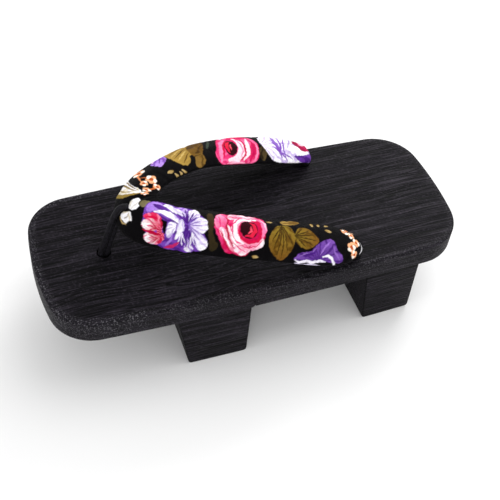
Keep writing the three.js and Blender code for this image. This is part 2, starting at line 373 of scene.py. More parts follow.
def board_outline():
    """The plan outline, anticlockwise from the toe, in millimetres."""
    side_radius = bulge_radius(BOARD_LENGTH / 2, SIDE_BULGE)
    side = (BOARD_WIDTH / 2 - side_radius, 0.0)
    found = []
    for end in (TOE, HEEL):
        end_radius = bulge_radius(BOARD_WIDTH / 2, end["bulge"])
        middle = (0.0, end["end"] * (BOARD_LENGTH / 2 - end_radius))
        side_reach = side_radius - end["corner"]
        end_reach = end_radius - end["corner"]
        gap = Vector((middle[0] - side[0], middle[1] - side[1]))
        along = (side_reach ** 2 - end_reach ** 2 + gap.length_squared) / (2 * gap.length)
        off = math.sqrt(side_reach ** 2 - along ** 2)
        way = gap.normalized()
        corner = (
            side[0] + along * way.x - end["end"] * off * way.y,
            side[1] + along * way.y + end["end"] * off * way.x,
        )
        side_angle = math.atan2(corner[1] - side[1], corner[0] - side[0])
        end_angle = math.atan2(corner[1] - middle[1], corner[0] - middle[0])
        found.append((middle, end_radius, corner, end["corner"], side_angle, end_angle))
    toe, heel = found
    half = arc(toe[0], toe[1], -math.pi / 2, toe[5])
    half += arc(toe[2], toe[3], toe[5], toe[4])
    half += arc(side, side_radius, toe[4], heel[4])
    half += arc(heel[2], heel[3], heel[4], heel[5])
    half += arc(heel[0], heel[1], heel[5], math.pi / 2)
    other_half = [(-x, y) for x, y in reversed(half[1:])]
    return half + [(0.0, BOARD_LENGTH / 2)] + other_half


outline = board_outline()
print(len(outline), "points in the board's outline")

# %% Board
TOP_ROUND = 1.6
LOWER_ROUND = 1.0
RIM_INSET = 3.5
HOLES = {
    "toe_hole": (0.0, -80.3),
    "rear_hole_right": (-37.0, 49.3),
    "rear_hole_left": (37.0, 49.3),
}
HOLE_RADIUS = 3.9
SMOOTH_ANGLE = math.radians(35)
TEETH = (
    dict(name="front_tooth", y_board=(-52.9, -12.8), y_floor=(-46.7, -13.1), inset=0.0, fillet=1.2),
    dict(name="rear_tooth", y_board=(55.0, 88.0), y_floor=(58.6, 88.7), inset=0.9, fillet=0.0),
)


def filled_outline(name, points):
    """A filled circle of points laid on an outline. The points are in millimetres."""
    bpy.ops.object.select_all(action="DESELECT")
    bpy.ops.mesh.primitive_circle_add(vertices=len(points), radius=0.05, fill_type="NGON")
    piece = bpy.context.object
    piece.name = piece.data.name = name
    for vertex, point in zip(piece.data.vertices, points):
        vertex.co = Vector(point) * MM
    return piece


def select_parts(piece, kind, wanted):
    """In edit mode, selects the parts of one kind, EDGE or FACE, that pass the test."""
    bpy.ops.mesh.select_mode(type=kind)
    bpy.ops.mesh.select_all(action="DESELECT")
    mesh = bmesh.from_edit_mesh(piece.data)
    for part in mesh.edges if kind == "EDGE" else mesh.faces:
        part.select = wanted(part)
    bmesh.update_edit_mesh(piece.data)


def all_points(wanted):
    """A test on an edge or a face that all its points pass, in millimetres."""
    return lambda part: all(wanted(vertex.co / MM) for vertex in part.verts)


def make_board():
    """The board with its rounded edges and its three cord holes."""
    board = filled_outline("board", [(x, y, UNDERSIDE) for x, y in outline])
    front, rear = TEETH[0]["y_board"]

    def rounded_below(p):
        """Low edges, but not beside the front tooth, where the board stays sharp."""
        return p.z < UNDERSIDE + 0.1 and not front - 1.5 < p.y < rear + 1.5

    with edit_mode(board):
        rise = (DECK - UNDERSIDE) * MM
        bpy.ops.mesh.extrude_region_move(TRANSFORM_OT_translate={"value": (0, 0, rise)})
        select_parts(board, "EDGE", all_points(lambda p: p.z > DECK - 0.1))
        bpy.ops.mesh.bevel(offset=TOP_ROUND * MM, segments=6, affect="EDGES")
        select_parts(board, "EDGE", all_points(rounded_below))
        bpy.ops.mesh.bevel(offset=LOWER_ROUND * MM, segments=3, affect="EDGES")
        select_parts(board, "FACE", lambda face: face.normal.z > 0.9999)
        bpy.ops.mesh.inset(thickness=RIM_INSET * MM)
        bpy.ops.mesh.select_all(action="SELECT")
        bpy.ops.mesh.normals_make_consistent(inside=False)
    for name, (x, y) in HOLES.items():
        bpy.ops.mesh.primitive_cylinder_add(
            vertices=40, radius=HOLE_RADIUS * MM, depth=0.04,
            location=(x * MM, y * MM, (DECK + UNDERSIDE) / 2 * MM),
        )
        drill = bpy.context.object
        only(board)
        cut = board.modifiers.new(name, "BOOLEAN")
        cut.operation = "DIFFERENCE"
        cut.solver = "EXACT"
        cut.object = drill
        bpy.ops.object.modifier_apply(modifier=name)
        bpy.data.objects.remove(drill)
    return board


def mark(piece, name, amount):
    """Stores a number from 0 to 1 at each point, for the material to read."""
    values = [amount(vertex.co / MM) for vertex in piece.data.vertices]
    attribute = piece.data.attributes.new(name, "FLOAT", "POINT")
    attribute.data.foreach_set("value", values)


board = make_board()


def board_wear(p):
    """Worn where the rounded upper edge is, most of all at the toe."""
    if min(math.dist((p.x, p.y), q) for q in outline) > TOP_ROUND + 0.3:
        return 0.0
    edge = 0.9 if p.y < -70 else 0.45
    return edge if p.z > DECK - TOP_ROUND - 0.1 else edge * 0.5


mark(board, "rim", board_wear)
only(board)
bpy.ops.object.shade_smooth_by_angle(angle=SMOOTH_ANGLE)
finish_piece(board, WOOD, ["platform"])

# %% [markdown]
# ## The teeth
# Each tooth is a block whose front face leans back to the floor. Its side profile is drawn as a
# face with round lower corners, and extruded across the board. Its ends then follow the board's
# bowed sides. The front tooth runs into the board with small hollow fillets. The rear one is set
# back a little and its top edge is rounded. A near-black band is painted on its top as the shadow
# under the board's overhang, and the rounded end edges are painted near black as shade; a stored
# attribute marks both for the wood's material.

# %% Teeth
LOWER_CORNER = 2.2
END_ROUND = 0.7
# The height of the painted shadow band under the board's overhang.
JOINT_SHADOW = 1.9
SIDE_CUTS = 6


def quarter(start, corner, stop, steps=6):
    """Points on a smooth curve from start to stop that bends at the corner."""
    points = []
    for i in range(steps + 1):
        t = i / steps
        points.append(tuple(
            (1 - t) ** 2 * a + 2 * t * (1 - t) * b + t ** 2 * c
            for a, b, c in zip(start, corner, stop)
        ))
    return points


def tooth_profile(row):
    """(y, z) points, anticlockwise seen from +X."""
    front_top, rear_top = row["y_board"]
    front, rear = row["y_floor"]
    low, top, fillet = LOWER_CORNER, UNDERSIDE, row["fillet"]
    points = quarter((front, low), (front, 0), (front + low, 0))
    points += quarter((rear - low, 0), (rear, 0), (rear, low))
    if not fillet:
        return points + [(rear_top, top), (front_top, top)]
    points += quarter((rear_top, top - fillet), (rear_top, top), (rear_top + fillet, top))
    points += quarter((front_top - fillet, top), (front_top, top), (front_top, top - fillet))
    return points


def half_width(y, inset):
    """Half the board's width at y, less the inset."""
    radius = bulge_radius(BOARD_LENGTH / 2, SIDE_BULGE)
    return BOARD_WIDTH / 2 - radius + math.sqrt((radius - inset) ** 2 - y ** 2)


def tooth_painted_shade(p, row):
    """Painted shade on the rounded end edges, and a painted shadow band on the rear tooth's top under the
    board's overhang.
    """
    from_end = half_width(p.y, row["inset"]) - abs(p.x)
    on_edge = 0.02 < from_end < END_ROUND - 0.02
    in_joint = not row["fillet"] and p.z > UNDERSIDE - JOINT_SHADOW - 0.01
    return float(on_edge or in_joint)


def half_tooth(row):
    """The tooth from the sandal's middle to its left end, bowed like the board's side."""
    profile = [(0.0, y, z) for y, z in tooth_profile(row)]
    tooth = filled_outline(row["name"] + "_wood", profile)
    first, last = row["y_board"]
    side_cuts = [first + (last - first) * i / SIDE_CUTS for i in range(1, SIDE_CUTS)]
    cuts = [((0, y * MM, 0), (0, 1, 0)) for y in side_cuts]
    # Two cuts under the board give the painted shadow band its edge and its fade.
    for below in (JOINT_SHADOW, 1.3 * JOINT_SHADOW):
        cuts.append(((0, 0, (UNDERSIDE - below) * MM), (0, 0, 1)))
    with edit_mode(tooth):
        reach = (BOARD_WIDTH / 2 * MM, 0, 0)
        bpy.ops.mesh.extrude_region_move(TRANSFORM_OT_translate={"value": reach})
        for place, normal in cuts:
            bpy.ops.mesh.select_all(action="SELECT")
            bpy.ops.mesh.bisect(plane_co=place, plane_no=normal)
    for vertex in tooth.data.vertices:
        if vertex.co.x > 1 * MM:
            vertex.co.x = half_width(vertex.co.y / MM, row["inset"]) * MM
    with edit_mode(tooth):
        select_parts(tooth, "FACE", all_points(lambda p: abs(p.x) < 0.001))
        bpy.ops.mesh.delete(type="FACE")
    return tooth


def is_end_edge(edge, row):
    """A sharp edge round an end. The top ones of a filleted tooth don't count."""
    at_end = all_points(lambda p: abs(p.x) > half_width(p.y, row["inset"]) - 0.01)
    at_board = all_points(lambda p: p.z > UNDERSIDE - 0.01)
    turns = len(edge.link_faces) == 2 and edge.calc_face_angle() > 0.5
    return at_end(edge) and turns and not (at_board(edge) and row["fillet"])


def make_tooth(row):
    """Both halves of a tooth as one block with rounded end edges."""
    tooth = half_tooth(row)
    mirror = tooth.modifiers.new("mirror", "MIRROR")
    mirror.use_axis = (True, False, False)
    bpy.ops.object.modifier_apply(modifier="mirror")
    with edit_mode(tooth):
        bpy.ops.mesh.remove_doubles(threshold=1e-6)
        bpy.ops.mesh.normals_make_consistent(inside=False)
        select_parts(tooth, "EDGE", lambda edge: is_end_edge(edge, row))
        bpy.ops.mesh.bevel(offset=END_ROUND * MM, segments=3, affect="EDGES")
    # Painted shade: near black on the rounded end edges and under the board's overhang.
    mark(tooth, "painted_shade_and_grain_black", lambda p: tooth_painted_shade(p, row))
    only(tooth)
    bpy.ops.object.shade_smooth_by_angle(angle=SMOOTH_ANGLE)
    finish_piece(tooth, WOOD, [row["name"]])


for row in TEETH:
    make_tooth(row)

# %% [markdown]
# ## The padded strap
# The strap is one padded tube of cotton that bends at the toe cord and runs back on both sides.
# Its rows give the middle line, width, thickness, heading and tilt at ten places from the apex to
# the hole, and a smooth curve through the rows gives a ring at every place between. The rings
# are joined into a closed skin. Its UV map is the cloth laid flat, in metres: u runs along the
# crown from the apex, and v runs across it, with plus towards the outer edge.

# %% The strap's rings
STRAP_ROWS = np.array([  # x, y, rise over the deck, width, thickness, heading, tilt
    (0.0, -61.9, 28.4, 25.4, 9.0, 90, 38),
    (9.5, -58.8, 29.2, 24.6, 8.5, 56, 34),
    (18.9, -47.0, 29.6, 24.0, 8.5, 29, 30),
    (28.6, -25.0, 28.2, 24.6, 8.2, 18, 21.5),
    (34.0, 0.0, 22.9, 25.8, 8.0, 9.5, 13),
    (36.8, 24.0, 15.6, 26.6, 8.0, 4.5, 12.5),
    (37.3, 38.5, 10.2, 23.4, 7.6, 1, 13),
    (37.0, 46.4, 6.6, 17.0, 7.2, 0, 8),
    (37.0, 49.0, 3.6, 12.8, 6.8, 0, 2),
    (37.0, 49.3, 0.8, 9.6, 6.4, 0, 0),
])
LAST_ROW = len(STRAP_ROWS) - 1
CAMBER = 2.7
RING_STEP = 1.65
TOP_CELLS = 26
LOWER_CELLS = 8
AROUND = TOP_CELLS + LOWER_CELLS
FINE = 360
CROWN_STEPS = 720


def strap_section(place):
    """The row at any place between 0, the apex, and LAST_ROW, the hole."""
    row = min(int(place), LAST_ROW - 1)
    mirrored = STRAP_ROWS[1] * (-1, 1, 1, 1, 1, -1, 1) + (0, 0, 0, 0, 0, 180, 0)
    before = mirrored if row == 0 else STRAP_ROWS[row - 1]
    after = STRAP_ROWS[min(row + 2, LAST_ROW)]
    return smooth_between(before, STRAP_ROWS[row], STRAP_ROWS[row + 1], after, place - row)


def strap_middle(place):
    """The middle line's point at any place, in millimetres."""
    x, y, rise = strap_section(place)[:3]
    return np.array([x, y, DECK + rise])


def unit(vector):
    return vector / np.linalg.norm(vector)


def strap_ring(place):
    """FINE points round the strap from its outer edge over the crown, in millimetres."""
    _, _, _, width, thick, heading, tilt = strap_section(place)
    near, far = max(place - 0.01, 0), min(place + 0.01, LAST_ROW)
    along = unit(strap_middle(far) - strap_middle(near)) if place > 0 else np.array([1.0, 0, 0])
    heading, tilt = math.radians(heading), math.radians(tilt)
    across = np.array([math.cos(heading), -math.sin(heading), 0.0])
    across = unit(across - across @ along * along)
    outward = across * math.cos(tilt) + np.cross(along, across) * math.sin(tilt)
    upward = np.cross(outward, along)
    angle = np.linspace(0, 2 * math.pi, FINE, endpoint=False)
    cos, sin = np.cos(angle), np.sin(angle)
    reach = np.sign(cos) * np.abs(cos) ** 0.85
    height = np.sign(sin) * np.abs(sin) ** 0.95
    lift = height * thick / 2 - CAMBER * min(1, width / 28) ** 2 * reach ** 2
    return strap_middle(place) + np.outer(reach * width / 2, outward) + np.outer(lift, upward)


def even_cells(ring, cells):
    """The ring's points again, as a whole number of equal cells along each part."""
    points = []
    for first, last, count in cells:
        part = ring[np.arange(first, last + 1) % FINE]
        run = runs_along(part)
        wanted = np.linspace(0, run[-1], count, endpoint=False)
        points.append(np.stack([np.interp(wanted, run, part[:, k]) for k in range(3)], axis=1))
    return np.concatenate(points)


places = np.linspace(0, LAST_ROW, CROWN_STEPS + 1)
crown = np.array([strap_ring(p)[FINE // 4] for p in places])
crown_run = runs_along(crown)
RINGS = round(crown_run[-1] / RING_STEP)
ring_runs = np.linspace(0, crown_run[-1], RINGS + 1)
ring_places = np.interp(ring_runs, crown_run, places)
half = FINE // 2
skin_cells = ((0, half, TOP_CELLS), (half, FINE, LOWER_CELLS))
left_rings = [even_cells(strap_ring(p), skin_cells) for p in ring_places]

TAIL_RADIUS = 3.3
TAIL_RINGS = ((DECK - 1.5, 2.5), (DECK - 6.0, 7.0), (UNDERSIDE + 0.6, 12.5))  # height, run
tail_angles = np.concatenate([
    np.linspace(0, math.pi, TOP_CELLS, endpoint=False),
    np.linspace(math.pi, 2 * math.pi, LOWER_CELLS, endpoint=False),
])
tail_x, tail_y = HOLES["rear_hole_left"]
for z, run in TAIL_RINGS:
    ring = np.empty((AROUND, 3))
    ring[:, 0] = tail_x + TAIL_RADIUS * np.cos(tail_angles)
    ring[:, 1] = tail_y + TAIL_RADIUS * np.sin(tail_angles)
    ring[:, 2] = z
    left_rings.append(ring)
left_runs = np.append(ring_runs, [crown_run[-1] + run for _, run in TAIL_RINGS])

mirror_x = np.array([-1.0, 1.0, 1.0])
rings = [ring * mirror_x for ring in left_rings[:0:-1]] + left_rings
ring_s = np.concatenate([-left_runs[:0:-1], left_runs])
print(len(rings), "rings of", AROUND, f"cells, {2 * crown_run[-1]:.0f} mm of padded strap")

# %% The strap's skin
def ring_across(ring):
    """How far each point is from the crown, plus outwards, measured on the cloth."""
    run = runs_along(np.vstack([ring, ring[:1]]))
    return run[TOP_CELLS // 2] - run


def make_skin():
    """The closed skin with its UV map."""
    count = len(rings)
    points = np.concatenate(rings)
    faces = []
    for i in range(count - 1):
        for j in range(AROUND):
            k = (j + 1) % AROUND
            here, there = i * AROUND, (i + 1) * AROUND
            faces.append((here + j, there + j, there + k, here + k))
    faces.append(tuple(range(AROUND)))
    faces.append(tuple((count - 1) * AROUND + j for j in reversed(range(AROUND))))
    skin = new_piece("padded_strap", points, faces)
    across = [ring_across(ring) for ring in rings]
    uv = skin.data.uv_layers.new(name="cloth")
    values = []
    for i in range(count - 1):
        for j in range(AROUND):
            for row, column in ((i, j), (i + 1, j), (i + 1, j + 1), (i, j + 1)):
                values += [ring_s[row] * MM, across[row][column] * MM]
    values += [0.0, 0.0] * (2 * AROUND)
    uv.data.foreach_set("uv", values)
    return skin


strap = make_skin()
with edit_mode(strap):
    bpy.ops.mesh.normals_make_consistent(inside=False)

# %% [markdown]
# The filling is put in by simulation: the skin becomes cloth, air pressure swells it, and its
# lining stays pinned, as the seams hold it on the real strap. Cloth behaves best at metre sizes,
# so the skin is swollen twenty times larger and brought back. No point may move past a cap.

# %% Fill the strap
SIM_SCALE = 20.0
SWELL_CAP = 1.3
SIM_FRAMES = 20
HELD_RINGS = 8


def fill_strap(piece):
    """Swells the skin's upper side by cloth simulation."""
    rest = np.array([v.co[:] for v in piece.data.vertices])
    column = np.arange(len(rest)) % AROUND
    ring = np.arange(len(rest)) // AROUND
    from_end = np.minimum(ring, len(rings) - 1 - ring)
    held = (column > TOP_CELLS) | (from_end < HELD_RINGS)
    edge = (column == 0) | (column == TOP_CELLS)
    pins = piece.vertex_groups.new(name="pins")
    pins.add(np.flatnonzero(held | edge).tolist(), 1.0, "REPLACE")
    piece.data.vertices.foreach_set("co", (rest * SIM_SCALE).ravel())
    only(piece)
    cloth = piece.modifiers.new("cloth", "CLOTH")
    settings = cloth.settings
    settings.quality = 6
    settings.mass = 0.15
    settings.tension_stiffness = settings.compression_stiffness = 12
    settings.shear_stiffness = 5
    settings.bending_stiffness = 1.5
    settings.vertex_group_mass = "pins"
    settings.use_pressure = True
    settings.uniform_pressure_force = 14
    settings.shrink_min = -0.03
    settings.effector_weights.gravity = 0
    cloth.collision_settings.use_collision = False
    cloth.point_cache.frame_start, cloth.point_cache.frame_end = 1, SIM_FRAMES
    for frame_number in range(1, SIM_FRAMES + 1):
        bpy.context.scene.frame_set(frame_number)
    bpy.ops.object.modifier_apply(modifier="cloth")
    bpy.context.scene.frame_set(1)
    swollen = np.array([v.co[:] for v in piece.data.vertices]) / SIM_SCALE
    move = swollen - rest
    length = np.linalg.norm(move, axis=1)
    print(f"swelled by up to {length.max() / MM:.2f} mm, mean {length.mean() / MM:.2f} mm")
    keep = np.minimum(1, SWELL_CAP * MM / np.maximum(length, 1e-9))
    piece.data.vertices.foreach_set("co", (rest + move * keep[:, None]).ravel())
    piece.vertex_groups.clear()


fill_strap(strap)

only(strap)
finer = strap.modifiers.new("finer", "SUBSURF")
finer.levels = finer.render_levels = 2
bpy.ops.object.modifier_apply(modifier="finer")
print(len(strap.data.polygons) * 2, "triangles in the strap")

# %% Where every point is on the cloth
def cloth_places(piece):
    """The (s, t) of every point in millimetres, from the UV map."""
    layer = piece.data.uv_layers["cloth"].data
    uv = np.empty(len(layer) * 2)
    layer.foreach_get("uv", uv)
    vertex = np.empty(len(layer), dtype=int)
    piece.data.loops.foreach_get("vertex_index", vertex)
    found = np.zeros((len(piece.data.vertices), 2))
    found[vertex] = uv.reshape(-1, 2) / MM
    return found[:, 0], found[:, 1]


strap_s, strap_t = cloth_places(strap)
ring_edges = np.array([(ring_across(r)[0], -ring_across(r)[TOP_CELLS]) for r in rings])
outer_edge = np.interp(strap_s, ring_s, ring_edges[:, 0])
inner_edge = -np.interp(strap_s, ring_s, ring_edges[:, 1])

# %% [markdown]
# ## Creases and seams
# Where the strap bends at the toe cord the cloth gathers towards the inside of the bend, and where
# it narrows to the holes it folds lengthwise. Each crease is placed on the cloth as a soft
# trough or ridge: its place, its direction, its length and width, and its depth in millimetres.
# The seam where the print meets the lining is a narrow trough just under both edges.

# %% Creases
CREASES = [  # s, t, turn from the strap's length in degrees, length, width, depth
    (0.0, 12.0, 0, 46.0, 6.5, 1.6),
    (0.0, -4.0, 90, 16.0, 1.9, -0.35), (4.2, -5.0, 78, 14.0, 1.6, 0.28),
    (8.0, -4.5, 66, 13.0, 1.7, -0.30), (-4.2, -5.0, 102, 14.0, 1.6, 0.28),
    (-8.0, -4.5, 114, 13.0, 1.7, -0.30), (12.0, 9.5, 24, 16.0, 2.2, -0.35),
    (-12.0, 9.5, 156, 16.0, 2.2, -0.35), (31.0, 9.0, 12, 22.0, 2.6, -0.25),
    (57.0, -10.5, 8, 24.0, 2.4, -0.25), (74.0, 9.5, -10, 22.0, 2.4, -0.28),
    (100.0, -9.0, -8, 22.0, 2.4, -0.25), (-48.0, 9.0, -10, 24.0, 2.6, -0.28),
    (-86.0, -9.5, 8, 24.0, 2.4, -0.25), (128.0, 0.5, 4, 13.0, 1.7, -0.45),
    (127.5, 5.8, -10, 12.0, 1.5, -0.40), (127.5, -5.6, 12, 12.0, 1.5, -0.40),
    (-128.0, 0.0, -4, 13.0, 1.7, -0.45), (-127.5, 5.6, 10, 12.0, 1.5, -0.40),
    (-127.5, -5.6, -12, 12.0, 1.5, -0.40),
]
SEAM_BELOW, SEAM_WIDTH, SEAM_DEPTH = 1.6, 0.55, 0.45


def crease_heights(s, t):
    """How far each point is raised by all the creases, in millimetres."""
    height = np.zeros(len(s))
    for place_s, place_t, turn, length, width, depth in CREASES:
        angle = math.radians(turn)
        u = (s - place_s) * math.cos(angle) + (t - place_t) * math.sin(angle)
        v = (t - place_t) * math.cos(angle) - (s - place_s) * math.sin(angle)
        height += depth * np.exp(-(2 * u / length) ** 2 - (v / width) ** 2)
    return height


def seam_heights(t, outer, inner):
    """The seam's trough, just under the print's two edges."""
    from_seam = np.minimum(np.abs(t - outer - SEAM_BELOW), np.abs(inner - SEAM_BELOW - t))
    return -SEAM_DEPTH * np.exp(-(from_seam / SEAM_WIDTH) ** 2)


on_band = np.clip((crown_run[-1] - 3 - np.abs(strap_s)) / 4, 0, 1)
lift = (crease_heights(strap_s, strap_t) + seam_heights(strap_t, outer_edge, inner_edge)) * on_band
points = np.empty(len(strap.data.vertices) * 3)
strap.data.vertices.foreach_get("co", points)
normals = np.empty(len(points))
strap.data.vertices.foreach_get("normal", normals)
strap.data.vertices.foreach_set("co", points + normals * np.repeat(lift * MM, 3))
strap.data.update()

# %% [markdown]
# ## The printed cotton
# The cloth is a black cotton with a generic flower print. The print is painted on the skin's
# points from a chart drawn in millimetres on the flat cloth. Each petal and leaf is a
# closed loop of a few points whose first point is its root: its colour runs from the root to
# the far end, and fine veins spread from the root. Strokes are thin lines with tapered ends.

# %% Print tools
def value_noise(x, y, seed):
    """Smooth noise from 0 to 1 that is the same each run."""
    def corner(i, j):
        value = np.sin(i * 127.1 + j * 311.7 + seed * 74.7) * 43758.5453
        return value - np.floor(value)

    i, j = np.floor(x), np.floor(y)
    u, v = x - i, y - j
    u, v = u * u * (3 - 2 * u), v * v * (3 - 2 * v)
    low = corner(i, j) * (1 - u) + corner(i + 1, j) * u
    high = corner(i, j + 1) * (1 - u) + corner(i + 1, j + 1) * u
    return low * (1 - v) + high * v


def smooth_loop(loop, steps=4):
    """A closed smooth curve through the loop's points."""
    p = np.array(loop, dtype=float)
    before, after, later = np.roll(p, 1, 0), np.roll(p, -1, 0), np.roll(p, -2, 0)
    found = [smooth_between(before, p, after, later, t) for t in np.arange(steps) / steps]
    return np.stack(found, axis=1).reshape(-1, 2)


def to_segment(s, t, first, last):
    """How far along a segment its nearest place is, from 0 to 1, and the gap to that place."""
    (s0, t0), (s1, t1) = first, last
    run = (s1 - s0) ** 2 + (t1 - t0) ** 2 + 1e-12
    along = np.clip(((s - s0) * (s1 - s0) + (t - t0) * (t1 - t0)) / run, 0, 1)
    return along, np.hypot(s - s0 - along * (s1 - s0), t - t0 - along * (t1 - t0))


class Print:
    """Paint on points whose places on the cloth are s and t, in millimetres."""

    def __init__(self, s, t, ground):
        self.s = s + 0.5 * (value_noise(s * 0.9, t * 0.9, 3) - 0.5)
        self.t = t + 0.5 * (value_noise(s * 0.9, t * 0.9, 8) - 0.5)
        self.colour = np.tile(np.array(linear(*ground)), (len(s), 1))

    def near(self, loop, margin=1.0):
        """The numbers of the points in the loop's box and a margin round it."""
        low, high = loop.min(0) - margin, loop.max(0) + margin
        inside = (self.s > low[0]) & (self.s < high[0]) & (self.t > low[1]) & (self.t < high[1])
        return np.flatnonzero(inside)

    def lay(self, index, cover, colour):
        """Paints over some points, each as much as its cover from 0 to 1 says."""
        self.colour[index] += (colour - self.colour[index]) * cover[:, None]

    def petal(self, loop, root, tip=None, veins=0, vein=None, soft=0.3):
        """Fills a loop. root and tip are colours from 0 to 255, and vein is the veins' colour."""
        curve = smooth_loop(loop)
        index = self.near(curve)
        if not len(index):
            return
        s, t = self.s[index], self.t[index]
        inside = np.zeros(len(index), dtype=bool)
        nearest = np.full(len(index), 99.0)
        for (s0, t0), (s1, t1) in zip(curve, np.roll(curve, -1, 0)):
            crosses = (t0 > t) != (t1 > t)
            inside ^= crosses & (s < (s1 - s0) * (t - t0) / (t1 - t0 + 1e-12) + s0)
            nearest = np.minimum(nearest, to_segment(s, t, (s0, t0), (s1, t1))[1])
        cover = np.clip(0.5 + np.where(inside, nearest, -nearest) / soft, 0, 1)
        first = np.array(loop[0], dtype=float)
        reach = np.hypot(*(curve - first).T).max()
        far = np.clip(np.hypot(s - first[0], t - first[1]) / reach, 0, 1)[:, None]
        start = np.array(linear(*root))
        colour = start + (np.array(linear(*(tip or root))) - start) * far
        if veins:
            angle = np.arctan2(t - first[1], s - first[0])
            wave = 0.5 + 0.5 * np.cos(angle * veins + 3 * value_noise(s * 0.5, t * 0.5, veins))
            share = np.clip(wave * 2.2 - 1.25, 0, 1)[:, None]
            colour = colour + (np.array(linear(*vein)) - colour) * share
        self.lay(index, cover, colour)

    def stroke(self, path, width, colour):
        """A brush stroke through the path's points, thinner at its ends."""
        path = np.array(path, dtype=float)
        index = self.near(path, width)
        if not len(index):
            return
        s, t = self.s[index], self.t[index]
        runs = runs_along(path)
        best = np.full(len(index), 99.0)
        place = np.zeros(len(index))
        for k, (first, last) in enumerate(zip(path, path[1:])):
            along, gap = to_segment(s, t, first, last)
            closer = gap < best
            best = np.where(closer, gap, best)
            place = np.where(closer, (runs[k] + along * (runs[k + 1] - runs[k])) / runs[-1], place)
        half = width / 2 * np.clip(4 * place * (1 - place), 0.15, 1) ** 0.5
        self.lay(index, np.clip(0.5 + (half - best) / 0.3, 0, 1), np.array(linear(*colour)))

    def fan(self, root, tips, width, colour):
        """Straight strokes from one root."""
        for tip in tips:
            self.stroke([root, tip], width, colour)

    def blossom(self, s, t, size=1.7, turn=0.0):
        """A tiny five-petalled flower, cream with an orange heart."""
        for k in range(5):
            a = turn + k * math.tau / 5
            c, n = s + 0.62 * size * math.cos(a), t + 0.62 * size * math.sin(a)
            r = 0.52 * size
            loop = [(c + r * math.cos(b), n + r * math.sin(b)) for b in np.arange(6) * math.tau / 6]
            self.petal(loop, (255, 244, 232) if k % 2 else (240, 172, 128), soft=0.35)
        heart = [(s + 0.42 * size * math.cos(b), t + 0.42 * size * math.sin(b)) for b in range(6)]
        self.petal(heart, (176, 78, 34), soft=0.35)

    def bud(self, s, t, turn, size=1.0):
        """A small closed bud, turned by an angle in degrees."""
        a = math.radians(turn)
        loop = []
        for u, v in ((-2.1, 0), (-0.6, 0.85), (1.2, 0.7), (2.1, 0), (1.2, -0.7), (-0.6, -0.85)):
            u, v = u * size, v * size
            loop.append((s + u * math.cos(a) - v * math.sin(a), t + u * math.sin(a) + v * math.cos(a)))
        self.petal(loop, (140, 112, 58), (186, 160, 108))


cloth = Print(strap_s, strap_t, (12, 10, 13))

# %% [markdown]
# The band on the left side, from the apex to the hole: pale buds at the bend, a large violet and
# white bloom with a pink heart, a rose, three olive leaves, violet petals and a spray of small
# blossoms at the end.

# %% Left band, first half
WHITE, PALE, LAVENDER = (246, 244, 248), (214, 208, 228), (178, 140, 224)
VIOLET, DEEP_VIOLET = (122, 74, 176), (70, 32, 118)
PALE_PINK = (252, 214, 226)
OLIVE, BROWN_OLIVE, DARK_OLIVE, GOLD = (132, 112, 40), (112, 76, 30), (44, 38, 24), (158, 130, 68)

cloth.petal([(3, 1), (0.2, 0.6), (-1.6, -2), (-0.8, -5.6), (2.2, -5.8), (3.6, -4.4), (5.9, -3.2),
            (5.6, -0.8)], WHITE, WHITE, 5, (214, 206, 190))
cloth.petal([(4.0, 1.8), (5.8, 2.4), (7.8, 4.2), (6.2, 5.2), (6.0, 7.4), (3.8, 7.2), (2.2, 7.6),
            (1.2, 5.0)], WHITE, WHITE, 5, (206, 192, 166))
cloth.stroke([(1.6, 7.4), (3.6, 8.2), (6.0, 7.8)], 0.8, (176, 150, 100))
cloth.stroke([(4.4, 2.6), (4.6, 4.6), (3.6, 6.2)], 0.5, (120, 104, 84))
cloth.petal([(3.4, -6.2), (6.5, -8.8), (10.4, -8.8), (10, -5.8), (6.4, -3.8)], (96, 88, 58),
            (132, 122, 92))

bloom = [(9.2, -5), (8.8, -8.8), (14, -11.4), (20, -12), (27, -11.4), (34, -12), (38, -10.6),
         (40.4, -7.2), (44, -4), (45, -1), (43, 2.2), (45, 6), (45, 9.6), (42.5, 11.6), (39, 12.6),
         (36, 13.8), (31, 13.2), (26, 13.4), (21.5, 11.8), (18, 11.4), (15.4, 9), (15.6, 6), (12.8, 3.4),
         (12, 0), (10.2, -2.8)]
cloth.petal(bloom, VIOLET, (104, 58, 160), 26, DEEP_VIOLET)
cloth.petal([(11, -4), (9.4, -6.4), (10, -9.2), (14, -11), (18, -10.4), (20, -7.6), (16, -5), (13, -3)],
            (150, 106, 208), LAVENDER)
cloth.petal([(12.4, -8.2), (15, -9.4), (19.6, -9.2), (23.6, -6.6), (20, -6.4), (15.6, -6.8)],
            DEEP_VIOLET, (96, 50, 150))
for side in ([(34.6, -1.4), (34.8, -5), (33.6, -9.4), (36.8, -11.4), (39.8, -8), (39.2, -4)],
             [(35.4, -0.8), (38.6, -5.6), (43, -5), (45, -1.8), (44.2, 1), (41.6, 2.6)],
             [(35.2, 0), (41, 2.6), (44.6, 5.6), (45.2, 9.2), (42.8, 11.4), (39.6, 9.6)]):
    cloth.petal(side, (206, 190, 232), WHITE, 22, (196, 178, 222))
